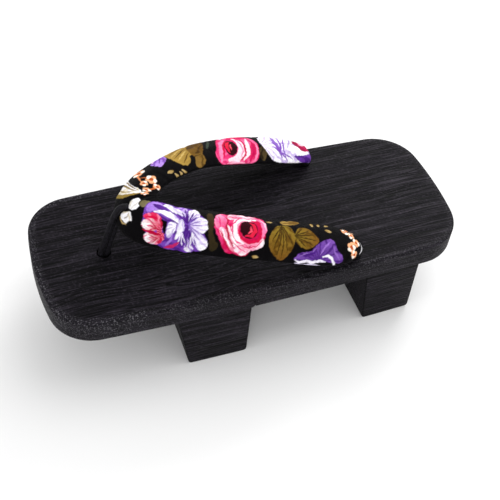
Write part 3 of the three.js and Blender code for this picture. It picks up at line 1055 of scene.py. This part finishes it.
for loop, *paint in (
    ([(27, -7.4), (25.6, -9.4), (28, -11.2), (32, -11.6), (33.4, -8.6), (34, -4.6), (30.4, -6.4)],
     (170, 128, 218), (204, 178, 242), 9, (132, 88, 190)),
    ([(35, 5), (37, 8), (38.6, 11.4), (37, 13.4), (34.6, 12.2), (34, 8)], VIOLET, WHITE, 14, VIOLET),
    ([(32.6, -5.2), (29, -5.8), (26, -6.6), (22.4, -8.4), (19, -9.8), (19.6, -11.6), (23, -11.3),
     (27, -9.6), (30.4, -8.6)], PALE, WHITE, 8, (196, 180, 224)),
    ([(30.6, -0.4), (28, -1.8), (24.6, -3.2), (21, -4.2), (15.8, -4.2), (18.6, -6.2), (23, -6.6),
     (27, -5.2), (30, -2.8)], WHITE, WHITE, 7, (190, 172, 220)),
    ([(31.2, -3.4), (33, -0.8), (33.2, 2.2), (31.4, 5.6), (29.6, 7), (30, 3.2), (29.7, -0.6)], PALE,
     WHITE, 9, (176, 156, 212)),
    ([(29.2, 0.6), (28.8, 3.8), (26.4, 6.8), (25, 4.2), (25, 0.6), (26.6, -1.2), (28.6, -0.8)], WHITE,
     PALE, 9, (184, 168, 210)),
    ([(31.4, 6.6), (32.2, 3.6), (34, 2.4), (34.8, 6.4), (34, 10.6), (31.8, 11.4), (30.4, 9)],
     DEEP_VIOLET, (90, 46, 144)),
    ([(36, 1.6), (38.2, 3.4), (39.6, 7.6), (38.4, 9.4), (36.6, 7), (35.6, 4)], DEEP_VIOLET,
     (90, 46, 144)),
):
    cloth.petal(loop, *paint)
for root, tips, width, colour in (
    ((34.8, -1.2), [(30.6, -7.4), (33.2, -9.4), (36.6, -8.6), (38.4, -5.6), (31.6, -10.4),
     (28.4, -6.2)], 0.8, DEEP_VIOLET),
    ((34.8, -0.6), [(33, 8.6), (35.2, 10.4), (37.4, 9.4), (30.8, 9.4)], 0.8, DEEP_VIOLET),
    ((34.8, -1.0), [(39.6, -6.2), (41, -3.6), (41.4, -1), (41.2, 3.2), (41, 6.2), (40, 8.4),
     (38.4, -8.6)], 0.55, (116, 82, 170)),
    ((32.4, 3), [(31, 9.6), (33, 9.8), (34.6, 8.2)], 0.6, (226, 216, 240)),
    ((37.2, 2.6), [(38.8, 8.8), (40.2, 7.8), (37, 11.4)], 0.5, (236, 230, 244)),
):
    cloth.fan(root, tips, width, colour)
cloth.stroke([(28.4, 4.4), (27.6, 8), (25.6, 11)], 1.2, (150, 112, 200))
cloth.stroke([(31.4, 8.4), (29, 10.8), (25, 12.4)], 1.8, (182, 40, 98))
cloth.petal([(23, 4.4), (22.2, -1), (18, -3.8), (14, -3), (11.8, -0.6), (14, 0.4), (18.6, 1.6),
            (20.6, 4.6), (20.6, 8), (19.2, 11.2), (22, 11.2), (24.4, 8), (24.2, 5)], (168, 10, 44),
            (226, 52, 96), 13, (240, 128, 160))
cloth.petal([(21.6, 1.6), (17.4, -0.6), (14, 0.4), (12.6, 1.8), (12.8, 4), (15.4, 5.2), (18.6, 5.4)],
            (196, 16, 62), (255, 232, 238), 15, (216, 60, 112))
cloth.petal([(23, 6.6), (19.4, 5.8), (16.4, 6.4), (15, 8.4), (16, 10.6), (19, 11.6), (21.6, 9.8)],
            (196, 16, 62), (250, 236, 242), 15, (208, 56, 106))
for root, tips, width, colour in (
    ((13, 3), [(16.6, 2.2), (16.2, 4), (14.8, 4.6)], 0.9, WHITE),
    ((15.6, 9), [(18, 7.6), (19, 9.2), (18.2, 10.6)], 0.9, (240, 236, 240)),
    ((20.6, 3.4), [(15.6, 0.4), (16.6, 3), (17, 5)], 0.5, (176, 14, 54)),
    ((21.8, 8), [(17.4, 7), (17, 9.4), (19, 11)], 0.5, (176, 14, 54)),
):
    cloth.fan(root, tips, width, colour)
cloth.stroke([(13.4, -0.6), (16.4, -1.4), (19.6, -1.2)], 1.3, (204, 18, 66))
cloth.stroke([(14.4, 5.7), (19, 5.7), (22.4, 6.2)], 1.4, (170, 14, 54))
cloth.petal([(22.6, 1.4), (21.4, -1.6), (23.2, -1.2), (24.8, -0.8), (24.5, 2), (24.8, 5), (23.6, 4.4)],
            (14, 6, 12))

# %% Left band, second half
cloth.petal([(47, 11), (45.4, 4), (43.6, -8), (46, -10), (47.4, -4), (47.2, 2), (50.4, 8.6)], DARK_OLIVE,
            (62, 50, 32))
rose = [(47.4, -4), (48.4, -9), (52, -11.6), (58, -12.2), (64, -13.2), (70, -12.4), (74, -9.6), (75, -4),
        (74.2, 1), (73, 5), (71, 8.2), (66.6, 9.4), (65.6, 11.6), (62.5, 12.6), (58, 11.4), (55, 11.2),
        (52.2, 8), (50.2, 4), (48.2, 0)]
for loop, *paint in (
    (rose, (206, 26, 88), (184, 16, 70), 9, (226, 60, 118)),
    ([(54, -1.6), (49.4, -0.6), (47.4, -4.4), (49, -9.6), (52.6, -11.2), (54.8, -7)], (214, 40, 104),
     (255, 160, 194), 8, (238, 96, 150)),
    ([(57.6, 9.8), (54, 6.8), (51, 2.2), (50.4, -1.4), (52.8, -0.6), (55.2, 4)], (206, 30, 92),
     (252, 196, 214)),
    ([(60.6, 11.4), (56.6, 9.4), (54, 4), (53.8, -3.4), (55.6, -1), (58, 5.4)], (222, 60, 118),
     (253, 226, 234)),
    ([(60.6, -8.2), (57, -6.2), (55, -7.6), (55.4, -11.4), (60, -12.4)], (224, 56, 116), (253, 216, 228),
     7, (238, 120, 160)),
    ([(69.8, -8.2), (64, -9.4), (60.4, -9.8), (61, -12.6), (66, -13), (70.8, -11.8)], (230, 86, 140),
     (254, 224, 234), 7, (240, 130, 170)),
    ([(64, 6.8), (60, 6), (57.6, 6.6), (58.8, 10), (62.4, 12.2), (65.6, 10.8), (66.4, 8.6)],
     (232, 100, 146), WHITE, 8, (240, 150, 182)),
    ([(66, 7.6), (70.4, 6), (72.8, 3.2), (72.8, 6.6), (70.4, 8.6), (66.8, 9.4)],
     (236, 116, 158), WHITE),
):
    cloth.petal(loop, *paint)
for path, width, colour in (
    ([(49.6, -7.6), (50.4, -4.4), (50.6, -1.6)], 0.7, (214, 44, 106)),
    ([(52.4, -10.8), (54.6, -6.4), (53.8, -1.6), (55.2, 3.6), (58.4, 8.6)], 1.0, (170, 10, 56)),
    ([(50.8, 0.4), (52.8, 4.8), (56, 9.4), (58.6, 11)], 0.8, (180, 12, 60)),
    ([(51.8, -0.4), (53.2, 3.4), (56.2, 7.8)], 0.9, WHITE),
    ([(56.2, 0.6), (57.4, 4), (60, 8.6)], 1.2, WHITE),
    ([(57.6, 5.8), (60.6, 8.4), (64.4, 10.6)], 0.6, (214, 44, 106)),
    ([(60.2, -9.2), (64.6, -9.2), (69.4, -8.9)], 0.8, (196, 24, 80)),
    ([(55.6, -10.4), (58, -8.2), (60.4, -9.4)], 0.7, (196, 24, 80)),
    ([(62, -11.4), (66, -11.6), (69.6, -10.6)], 0.9, WHITE),
    ([(70, -8), (64, -7.9), (59.7, -5.8), (57.9, -1.4), (58.8, 2.8), (62.4, 6)], 3.2, (253, 228, 236)),
    ([(66, -9.1), (60.8, -7.7), (57.2, -3.8), (56.8, 1.4), (58.6, 4.8)], 0.7, (214, 50, 110)),
    ([(68, -6.6), (63, -6.4), (60, -3.8), (59.6, 0.6), (61.4, 4)], 0.6, (240, 130, 168)),
    ([(60, -0.6), (61.8, 3.8), (65.6, 5.6), (70, 4.4), (72.4, 0.6)], 1.9, (196, 18, 64)),
    ([(61, 4.6), (65.4, 6.9), (70.6, 5.6), (73.4, 1.6)], 0.8, (246, 150, 182)),
    ([(60.6, 6.9), (65.4, 8.2), (69.4, 7.2), (72.6, 4)], 0.6, (206, 30, 84)),
    ([(70.8, -9.6), (73.6, -6), (73.9, -1.6), (72.4, 2.4)], 2.6, (248, 116, 162)),
    ([(72.6, -9.4), (74.7, -5), (74.6, -1)], 0.8, (255, 196, 214)),
    ([(68, -7.4), (71, -5.4), (71.8, -1.6), (70.6, 2.2)], 1.5, (196, 18, 64)),
):
    cloth.stroke(path, width, colour)
cloth.petal([(65.2, 3.6), (62, 2), (60.8, -1.4), (62, -5), (65.4, -6.6), (68.8, -5.4), (70.2, -1.6),
            (68.8, 2.2)], (34, 3, 13), (52, 5, 22))
cloth.stroke([(63.8, 2.2), (67, 2.2), (68.9, -0.6), (68.4, -4), (66.6, -5.2)], 2.0, (212, 34, 64))
cloth.stroke([(65.2, 0.8), (66.8, -0.4), (66.8, -2.8)], 1.0, (236, 76, 98))
cloth.bud(69.5, 12.6, 8, 0.8)
cloth.bud(77.5, -7, 6, 0.8)

for leaf, vein_tips in (
    ([(84.4, -5.6), (88.4, -4.6), (90.4, -1), (90.2, 3.4), (87.6, 9.4), (83.4, 14), (79.4, 11.6),
      (76.4, 8), (75.6, 4), (78, -1), (81.2, -4.4)],
     [(83.2, 12.8), (78.4, 8.4), (80.6, 10.8), (86, 9.6), (88.6, 5.4), (77.6, 4)]),
    ([(90.4, 0.6), (94, -4.6), (99, -4.4), (102.6, -1), (104.2, 2.8), (100, 6.2), (96, 7.4), (91.6, 5)],
     [(103.2, 2.6), (101.6, -0.6), (99.4, -3), (100.2, 5.2), (96.2, 6.4), (95.4, -3.6)]),
):
    cloth.petal(leaf, OLIVE, BROWN_OLIVE, 9, (88, 62, 20))
    cloth.fan(leaf[0], vein_tips, 0.6, (58, 42, 14))
cloth.petal([(84, -7.4), (87, -10.6), (94.6, -12), (96.6, -9.6), (92, -7), (87, -6)], GOLD,
            (146, 112, 52), 7, (104, 76, 30))
for s, t, turn in ((103.2, -8.2, 115), (108, -9.4, 125), (113, -8.8, 150), (111.6, -4, 10)):
    cloth.bud(s, t, turn)
violet_petals = [(104, 12.8), (91.2, 13.4), (91.4, 10.6), (94, 9), (99, 8.2), (103, 4.6), (107, 2.2),
                 (111.4, 0.8), (113.6, 2.4), (114.6, 6), (118.4, 9.4), (119.2, 12.4), (114, 13.4)]
cloth.petal(violet_petals, (80, 44, 128), (122, 80, 168), 18, (66, 32, 108))
for path, width, colour in (
    ([(104.8, 9.6), (107, 5.8), (110.8, 2.6)], 1.0, (142, 102, 186)),
    ([(112.4, 4.4), (113.4, 8), (117.2, 11.4)], 0.9, (138, 98, 182)),
    ([(92.6, 11.6), (95, 10), (99.6, 9.2), (102.4, 6.4)], 0.6, (140, 104, 178)),
    ([(95.2, 10.8), (98.8, 9.8), (101.8, 8.2)], 1.2, DEEP_VIOLET),
    ([(91, 13.0), (93.6, 14.4), (97.4, 13.2), (101, 13.8), (105.4, 12.6), (108.6, 13.2)], 1.5,
     (232, 226, 240)),
    ([(91.4, 14.8), (95.6, 15.8), (100, 15.2), (106, 15.4)], 1.2, (206, 198, 222)),
    ([(106.4, 10.4), (109.4, 9.9), (112.2, 11.4), (114.4, 14), (115.6, 16)], 1.5, (240, 236, 246)),
):
    cloth.stroke(path, width, colour)
for s, t, size in (
    (123.4, -5.2, 2.3), (128.6, -8.6, 2.2), (126.4, -2.4, 1.9), (124.4, 4.6, 2.6), (128.6, 1.8, 2.2),
    (126.4, 8.2, 2.0),
):
    cloth.blossom(s, t, size, s)
cloth.stroke([(124, -6.6), (128, -7), (132.4, -9.4)], 1.0, (214, 128, 84))
cloth.stroke([(127.2, -5), (131, -5.6), (134.6, -7.6)], 1.0, (236, 190, 160))
cloth.stroke([(133, -5.4), (135.4, -1.4), (135.6, 2.4), (133.2, 7.4)], 2.2, (196, 194, 198))

# %% [markdown]
# The band on the right side: a white leaf with a golden edge and a spray of blossoms at the bend,
# golden leaves, a rose, and a second violet and white bloom at the end. Its places count down.

# %% Right band
def right(loop):
    """The right band's places count down from the apex."""
    return [(-s, t) for s, t in loop]


cloth.petal(right([(5, -6.5), (4.4, -2), (6, 5), (9.4, 11.6), (13.4, 15.6), (17, 16), (10, 6),
            (7, -2)]), GOLD, OLIVE)
cloth.petal(right([(5.6, -6.8), (9, -6), (11.4, -2), (14.4, 3), (18, 8), (20.4, 13), (20, 16), (15, 16),
            (11.4, 11), (8.4, 6), (6.6, 1)]), WHITE, WHITE, 9, (222, 212, 186))
for path, width, colour in (
    ([(7.6, -4.6), (10.6, 1), (14.4, 8), (17.4, 13.4)], 1.0, (132, 108, 52)),
    ([(8.6, -5), (12.4, 1), (16.4, 7.4)], 0.8, (120, 98, 56)),
    ([(7.2, -2), (9, 4), (12.4, 10.4)], 0.7, (158, 134, 82)),
    ([(2, -8.6), (8, -9.6), (14, -12), (18.4, -10.6), (19.2, -5), (17.6, -2)], 1.0, (196, 104, 56)),
    ([(15, -4.6), (18, -0.6), (21.4, 5), (25, 11), (28.6, 14.6)], 1.2, (222, 142, 96)),
):
    cloth.stroke(right(path), width, colour)
for s, t, size in (
    (5, -8.8, 1.9), (9.6, -9.2, 2.1), (14.6, -6.2, 2.0), (17, -13, 2.1), (19.6, -7.8, 2.8), (21.6, 2.4, 3.0),
    (22.6, 7.4, 2.0), (27, 12.4, 2.4),
):
    cloth.blossom(-s, t, size, s)
cloth.petal(right([(38, 8), (30, 2.4), (29.4, -1), (30.8, -5), (34.4, -4), (38, -1), (39.8, 3), (41, 7),
            (45, 13), (44, 16), (39.6, 15), (35.6, 11)]), (140, 92, 196), (186, 146, 232), 10,
            (112, 66, 168))
cloth.stroke(right([(31.6, 2.4), (34.2, 7), (38.2, 13)]), 1.8, (216, 180, 214))
cloth.stroke(right([(32.6, -2), (36.6, 3), (41, 11)]), 0.7, (70, 36, 116))
cloth.petal(right([(63, 3), (61, -1), (57.6, -5.6), (53.6, -7.6), (50, -6), (47.6, -9.6), (44, -11),
            (41, -8.6), (39, -4), (39.4, 2), (41.4, 6), (47, 8.6), (56, 9.4), (62, 7.6)]),
            (134, 104, 42), (166, 134, 66))
cloth.petal(right([(63.6, 3), (62, 7), (58, 8.6), (54.6, 4), (51.4, -1), (50.6, -5.4), (53, -8.4),
            (58.6, -6)]), (92, 66, 26), (112, 82, 34), 9, (66, 46, 20))
cloth.petal(right([(57.4, -7), (57, -12), (52.4, -14.6), (49.4, -13), (51, -9.4), (53, -6.6)]),
            (112, 84, 38), (134, 104, 52), 7, (82, 60, 26))
for vein in ([(40.6, 3), (46, 5.8), (53, 8), (60, 7.6)], [(40.6, -2), (46, 0.8), (52, 3.6)],
             [(42, -6.4), (46, -4.2), (50, -1.6)]):
    cloth.stroke(right(vein), 0.9, (196, 166, 98))
for vein in ([(41, 0.4), (46, 3.2), (53, 6), (61, 5.6)], [(41, -4.2), (46, -1.8), (51, 1.2)],
             [(43.6, -9), (47, -6.6), (50, -4)]):
    cloth.stroke(right(vein), 0.7, (88, 62, 24))
for s, t, turn in ((32.6, -10.4, 10), (34.4, -14, 80), (37.6, -14.4, 85), (40.4, -13.6, 60)):
    cloth.bud(-s, t, turn)
cloth.stroke(right([(62.6, -4), (65.4, 0), (67.4, 3.4)]), 1.6, (58, 66, 56))

far_rose = [(66, -12), (69, -15.2), (80, -15.8), (88, -15.4), (93, -12.6), (95.2, -6), (95, 0),
            (91.4, 5), (84, 7.4), (76, 6.2), (71, 1.4), (68, -5), (65.6, -9)]
cloth.petal(right(far_rose), (226, 56, 116), (200, 24, 84), 11, (240, 100, 150))
for path, width, colour in (
    ([(68, -13), (69.4, -8), (73, -1), (77.4, 3.4)], 2.6, (250, 130, 172)),
    ([(73, -12.8), (79, -12), (83.4, -8), (84.4, -2), (83, 3)], 4.2, PALE_PINK),
    ([(83, -13), (87.4, -9.4), (88.4, -4.4), (90.4, 1.6)], 2.4, (252, 222, 232)),
    ([(80.4, -13.4), (85, -10.4), (86.6, -4), (87, 3)], 1.1, (190, 20, 74)),
    ([(86.4, -14.6), (90.8, -9.6), (92.4, -3), (92, 3)], 1.6, (190, 24, 78)),
    ([(90.4, -14), (93.6, -9), (94.4, -3)], 1.5, (250, 128, 168)),
    ([(71.4, -14.4), (77, -14.2), (83, -14.8)], 1.2, (252, 170, 198)),
    ([(70.4, -11), (71.8, -6), (75, -0.6), (79, 2)], 1.4, (196, 18, 64)),
    ([(81.4, -11.6), (84.2, -8), (84.8, -3), (84, 2)], 0.6, (232, 96, 146)),
):
    cloth.stroke(right(path), width, colour)
cloth.petal(right([(78.4, 1.4), (75, -1.4), (73, -5.4), (73.6, -9.4), (77, -10), (80, -7.8), (81.4, -4),
            (81, 0)]), (34, 3, 13), (52, 5, 22))
cloth.stroke(right([(74.8, -8.4), (74.6, -5), (76.4, -1.4), (78.2, -0.4)]), 2.0, (212, 34, 64))
cloth.stroke(right([(76.6, -7), (76.8, -4.4), (78, -2.6)]), 0.9, (236, 76, 98))
cloth.petal(right([(98, -5), (95, -8), (94.4, -12), (97, -14), (99.6, -10)]), (50, 40, 24), (88, 74, 46),
            7, (34, 26, 16))

far_bloom = [(98, -4), (99.6, -9), (103.4, -14), (112, -15.2), (120, -14.6), (127, -12.8), (133, -10),
             (138.4, -6), (141, 0), (140, 6), (130, 12), (120, 13), (108, 11), (101, 5), (98.4, 1)]
cloth.petal(right(far_bloom), (236, 232, 242), WHITE, 16, (186, 166, 216))
cloth.stroke(right([(110, -12), (108.4, -6), (108, -1), (109, 5)]), 2.6, (134, 96, 184))
cloth.stroke(right([(113, -13.4), (112, -8), (113.6, -2), (117, 4)]), 1.0, (120, 78, 176))
cloth.fan((-109.4, -9), [(-114.4, -14), (-117.6, -12), (-104.6, -5.6), (-106, -1), (-112, -2),
          (-113.4, 6)], 1.0, VIOLET)
cloth.petal(right([(119, -10.4), (126, -12.4), (134, -9.4), (140, -4), (141.4, 3), (138, 3),
            (133.4, -3.4), (126.4, -8)]), (94, 48, 150), (120, 74, 172), 8, DEEP_VIOLET)
cloth.petal(right([(121, -1), (125, -4.8), (130, -4), (136, 1), (139, 5.4), (136, 8.6), (130, 10),
            (126, 9), (123, 4)]), (140, 14, 60), (196, 32, 88))
cloth.petal(right([(131, 2), (126.6, -0.4), (125.6, 3), (129, 8), (134, 7.4), (136.4, 4)]),
            (253, 226, 232), (240, 130, 160))
cloth.stroke(right([(115, -6), (119, 0), (123.4, 8)]), 1.2, (168, 150, 200))

# %% The lining
below = np.clip(np.maximum(strap_t - outer_edge, inner_edge - strap_t) / 0.6 + 0.2, 0, 1)
tail = np.clip((np.abs(strap_s) - crown_run[-1] + 4.0) / 2.0, 0, 1)
lining = np.maximum(below, tail)
colour = cloth.colour + (np.array(linear(12, 11, 13)) - cloth.colour) * lining[:, None]
painted = strap.data.attributes.new("print", "FLOAT_COLOR", "POINT")
painted.data.foreach_set("color", np.column_stack([colour, np.ones(len(colour))]).ravel())
print(f"{np.mean(colour.sum(axis=1) > 0.1) * 100:.0f}% of the cloth is printed")

# %% Printed cotton
THREAD = 0.00045


def printed_cotton():
    """The print under a plain weave, with soft folds in the cloth."""
    n = Nodes("printed_cotton")
    uv = n.add("UVMap", uv_map="cloth").outputs[0]
    print_colour = n.add("Attribute", attribute_name="print").outputs["Color"]
    axes = n.add("SeparateXYZ", {0: uv})
    threads = []
    for axis in (0, 1):
        threads.append(n.math("SINE", n.math("MULTIPLY", axes.outputs[axis], math.tau / THREAD)))
    weave = n.math("MULTIPLY", threads[0], threads[1])
    place = n.place()
    slub = n.noise(place, 700.0, 3.0)
    soft = n.noise(place, 130.0, 2.0)
    shade = n.range(slub, 0.3, 0.7, 0.82, 1.12)
    grey = n.add("CombineColor", {0: shade, 1: shade, 2: shade}).outputs[0]
    colour = n.blend(1.0, print_colour, grey, "MULTIPLY")
    folds = n.bump(soft, 0.25, 0.0012)
    n.set(Base_Color=colour, Normal=n.bump(weave, 0.35, 0.00012, folds))
    n.set(Roughness=n.range(slub, 0.3, 0.7, 0.66, 0.82), Specular_IOR_Level=0.04)
    n.set(Sheen_Weight=0.02, Sheen_Roughness=0.45)
    return n.material


finish_piece(strap, printed_cotton(), ["strap"])

# %% [markdown]
# ## The toe cord and the knots
# The toe cord is a doubled tube of black cotton. Both halves come up through the front hole and
# go round the strap at its bend. Under the board each cord ends in a knot that stops it from
# pulling through. A curve with a round profile is the way to make them.

# %% Black cotton
def black_cord():
    """Black cotton with a fine surface and small wrinkles."""
    n = Nodes("black_cord")
    place = n.place()
    weave = n.noise(place, 900.0, 3.0)
    wrinkle = n.noise(place, 260.0, 2.0)
    colour = n.blend(n.range(weave, 0.35, 0.7), linear(14, 13, 16), linear(34, 32, 38))
    creases = n.bump(wrinkle, 0.5, 0.0006)
    n.set(Base_Color=colour, Normal=n.bump(weave, 0.35, 0.00015, creases))
    n.set(Roughness=0.62, Specular_IOR_Level=0.12, Sheen_Weight=0.02)
    return n.material


BLACK = black_cord()

# %% Cords
def cord_mesh(name, runs, radii):
    """One mesh of round cords, each along a run of points in millimetres."""
    parts = []
    for points, radius in zip(runs, radii):
        data = bpy.data.curves.new(name, "CURVE")
        data.dimensions = "3D"
        data.resolution_u = 8
        data.bevel_depth = radius * MM
        data.bevel_resolution = 5
        data.use_fill_caps = True
        spline = data.splines.new("BEZIER")
        spline.bezier_points.add(len(points) - 1)
        for knot, point in zip(spline.bezier_points, points):
            knot.co = Vector(point) * MM
            knot.handle_left_type = knot.handle_right_type = "AUTO"
        piece = bpy.data.objects.new(name, data)
        bpy.context.scene.collection.objects.link(piece)
        parts.append(piece)
    only(parts[0])
    for piece in parts:
        piece.select_set(True)
    bpy.ops.object.convert(target="MESH")
    if len(parts) > 1:
        bpy.ops.object.join()
    joined = bpy.context.object
    joined.name = joined.data.name = name
    joined.data.shade_smooth()
    return joined


STRAND_RADIUS = 1.65
STRANDS = (  # (y, rise over the deck) from the knot up to the strap
    [(-81.8, -14), (-81.8, -1), (-80.9, 3), (-78.4, 11.3), (-75.6, 20.5), (-73.0, 27.4),
     (-70.2, 31.0), (-66.4, 31.0)],
    [(-78.7, -14), (-78.7, -1), (-77.8, 3), (-75.3, 11.5), (-72.8, 19.0), (-70.0, 24.0),
     (-66.2, 26.0)],
)
runs = [[(0.0, y, DECK + rise) for y, rise in strand] for strand in STRANDS]
toe_cord = cord_mesh("toe_cord", runs, [STRAND_RADIUS] * 2)
finish_piece(toe_cord, BLACK, ["toe_thong"])


TREFOIL_REACH, TREFOIL_STEPS = 2.85, 24


def knot_run(centre, half, radius):
    """A trefoil knot inside the given half sizes."""
    x, y, z = centre
    reach = (half[0] - radius) / TREFOIL_REACH, (half[1] - radius) / TREFOIL_REACH, half[2] - radius
    run = []
    for k in range(TREFOIL_STEPS + 1):
        a = math.tau * k / TREFOIL_STEPS
        run.append((
            x + reach[0] * (math.sin(a) + 2 * math.sin(2 * a)),
            y + reach[1] * (math.cos(a) - 2 * math.cos(2 * a)),
            z - reach[2] * math.sin(3 * a),
        ))
    return run


KNOT_GAP, STEM_RADIUS = 0.3, 2.6
KNOTS = (  # piece, node, hole, half sizes, cord radius
    ("toe_cord_knot", "toe_knot", "toe_hole", (6.6, 6.6, 3.8), 2.3),
    ("strap_knot_right", "rear_knot_right", "rear_hole_right", (5.8, 4.6, 3.0), 1.7),
    ("strap_knot_left", "rear_knot_left", "rear_hole_left", (5.8, 4.6, 3.0), 1.7),
)
for name, node, hole, half_sizes, radius in KNOTS:
    x, y = HOLES[hole]
    centre = (x, y, UNDERSIDE - KNOT_GAP - half_sizes[2])
    runs = [knot_run(centre, half_sizes, radius), [centre, (x, y, UNDERSIDE + 2.0)]]
    knot = cord_mesh(name, runs, (radius, STEM_RADIUS))
    finish_piece(knot, BLACK, [node])
